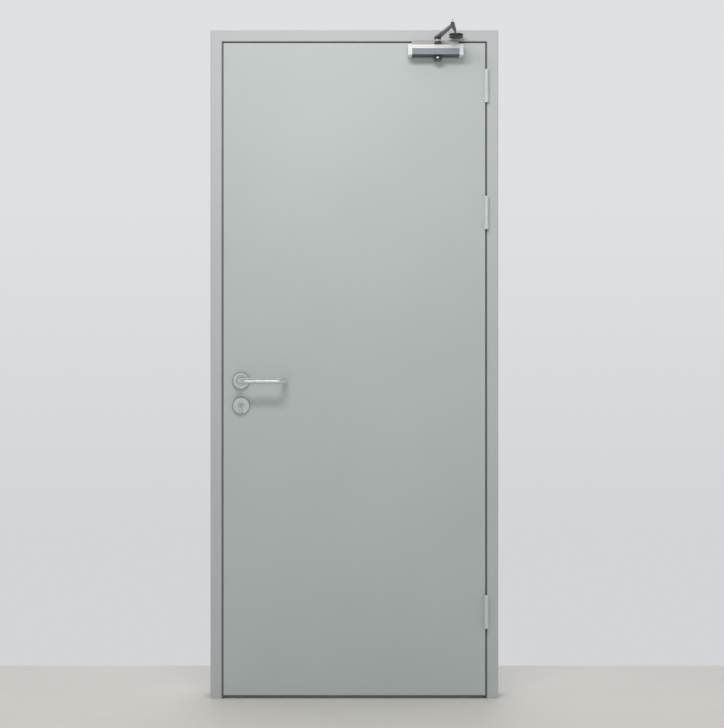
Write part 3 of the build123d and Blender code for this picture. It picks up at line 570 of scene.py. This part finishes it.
# Floor, light and camera: a plain pale floor that ends a little behind the door, a pale room, a soft box
# above that is kept out of mirror reflections, a catch light behind the camera, a fill behind the door, and
# a level camera straight on.
floor_paint = enamel("pale_floor", (0.765, 0.738, 0.690), (0.735, 0.708, 0.662), 0.60, 0.72, 0.05)
floor_half_size, floor_centre = (6.0, 4.3, 1.0), (-0.43, -3.73, 0.0)
slab = bmesh.new()
bmesh.ops.create_grid(slab, x_segments=1, y_segments=1, size=1.0)
bmesh.ops.scale(slab, verts=slab.verts, vec=floor_half_size)
bmesh.ops.translate(slab, verts=slab.verts, vec=floor_centre)
floor_data = bpy.data.meshes.new("floor")
slab.to_mesh(floor_data)
slab.free()
floor_data.materials.append(floor_paint)
floor = bpy.data.objects.new("floor", floor_data)
bpy.context.scene.collection.objects.link(floor)

room = bpy.data.worlds.new("room")
room.use_nodes = True
bpy.context.scene.world = room
room_nodes, room_links = room.node_tree.nodes, room.node_tree.links
room_light = room_nodes["Background"]
room_place = room_nodes.new("ShaderNodeTexCoord")
room_axes = room_nodes.new("ShaderNodeSeparateXYZ")
room_height = room_nodes.new("ShaderNodeMapRange")
room_height.inputs["From Min"].default_value = -1.0
room_front = room_nodes.new("ShaderNodeValToRGB")
room_front.color_ramp.elements[0].color = (0.37, 0.41, 0.42, 1.0)
room_front.color_ramp.elements[1].color = (0.62, 0.64, 0.64, 1.0)
room_tint = (0.94, 1.02, 1.04)
for height, tone in ((0.48, 0.50), (0.56, 0.48), (0.64, 0.34), (0.80, 0.31)):
    room_front.color_ramp.elements.new(height).color = (*(channel * tone for channel in room_tint), 1.0)
room_back = room_nodes.new("ShaderNodeValToRGB")
room_back.color_ramp.elements[0].position = 0.455
room_back.color_ramp.elements[0].color = (0.655, 0.662, 0.690, 1.0)
room_back.color_ramp.elements[1].position = 0.550
room_back.color_ramp.elements[1].color = (0.742, 0.750, 0.768, 1.0)
room_turn = room_nodes.new("ShaderNodeMapRange")
room_turn.inputs["From Min"].default_value = -0.6
room_turn.inputs["From Max"].default_value = 0.6
room_mix = room_nodes.new("ShaderNodeMix")
room_mix.data_type = "RGBA"
room_links.new(room_place.outputs["Generated"], room_axes.inputs["Vector"])
room_links.new(room_axes.outputs["Z"], room_height.inputs["Value"])
for half in (room_front, room_back):
    room_links.new(room_height.outputs["Result"], half.inputs["Fac"])
room_links.new(room_axes.outputs["Y"], room_turn.inputs["Value"])
room_links.new(room_turn.outputs["Result"], room_mix.inputs["Factor"])
room_links.new(room_front.outputs["Color"], room_mix.inputs["A"])
room_links.new(room_back.outputs["Color"], room_mix.inputs["B"])
room_links.new(room_mix.outputs["Result"], room_light.inputs["Color"])

for name, place, aim, width, height, power, tint in (
    ("soft_box", (-0.55, -1.45, 2.50), (-0.43, 0.0, 1.2), 0.9, 0.3, 16.0, (1.0, 0.945, 0.935)),
    ("catch_light", (-0.60, -6.3, 1.15), (-0.60, 0.0, 1.05), 2.0, 0.8, 30.0, (1.0, 1.0, 1.0)),
    ("back_fill", (-0.43, 3.0, 2.9), (-0.43, 0.0, 1.0), 2.4, 1.6, 20.0, (1.0, 1.0, 1.0)),
):
    lamp = bpy.data.lights.new(name, "AREA")
    lamp.shape = "RECTANGLE"
    lamp.size = width
    lamp.size_y = height
    lamp.energy = power
    lamp.color = tint
    light = bpy.data.objects.new(name, lamp)
    light.location = place
    light.visible_glossy = name != "soft_box"
    light.rotation_euler = (Vector(aim) - Vector(place)).to_track_quat("-Z", "Y").to_euler()
    bpy.context.scene.collection.objects.link(light)

view_distance = 5.5
view_height = 1.046
view_aside = -0.4086
pixel_size = 0.0031265
frame_pixels = 728
lens = bpy.data.cameras.new("camera")
lens.sensor_fit = "VERTICAL"
lens.sensor_height = 24.0
lens.lens = lens.sensor_height * view_distance / (pixel_size * frame_pixels)
camera = bpy.data.objects.new("camera", lens)
camera.location = (view_aside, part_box("frame_head")[0].y - view_distance, view_height)
camera.rotation_euler = (math.radians(90), 0, 0)
bpy.context.scene.collection.objects.link(camera)
bpy.context.scene.camera = camera
bpy.context.scene.view_settings.view_transform = "Standard"
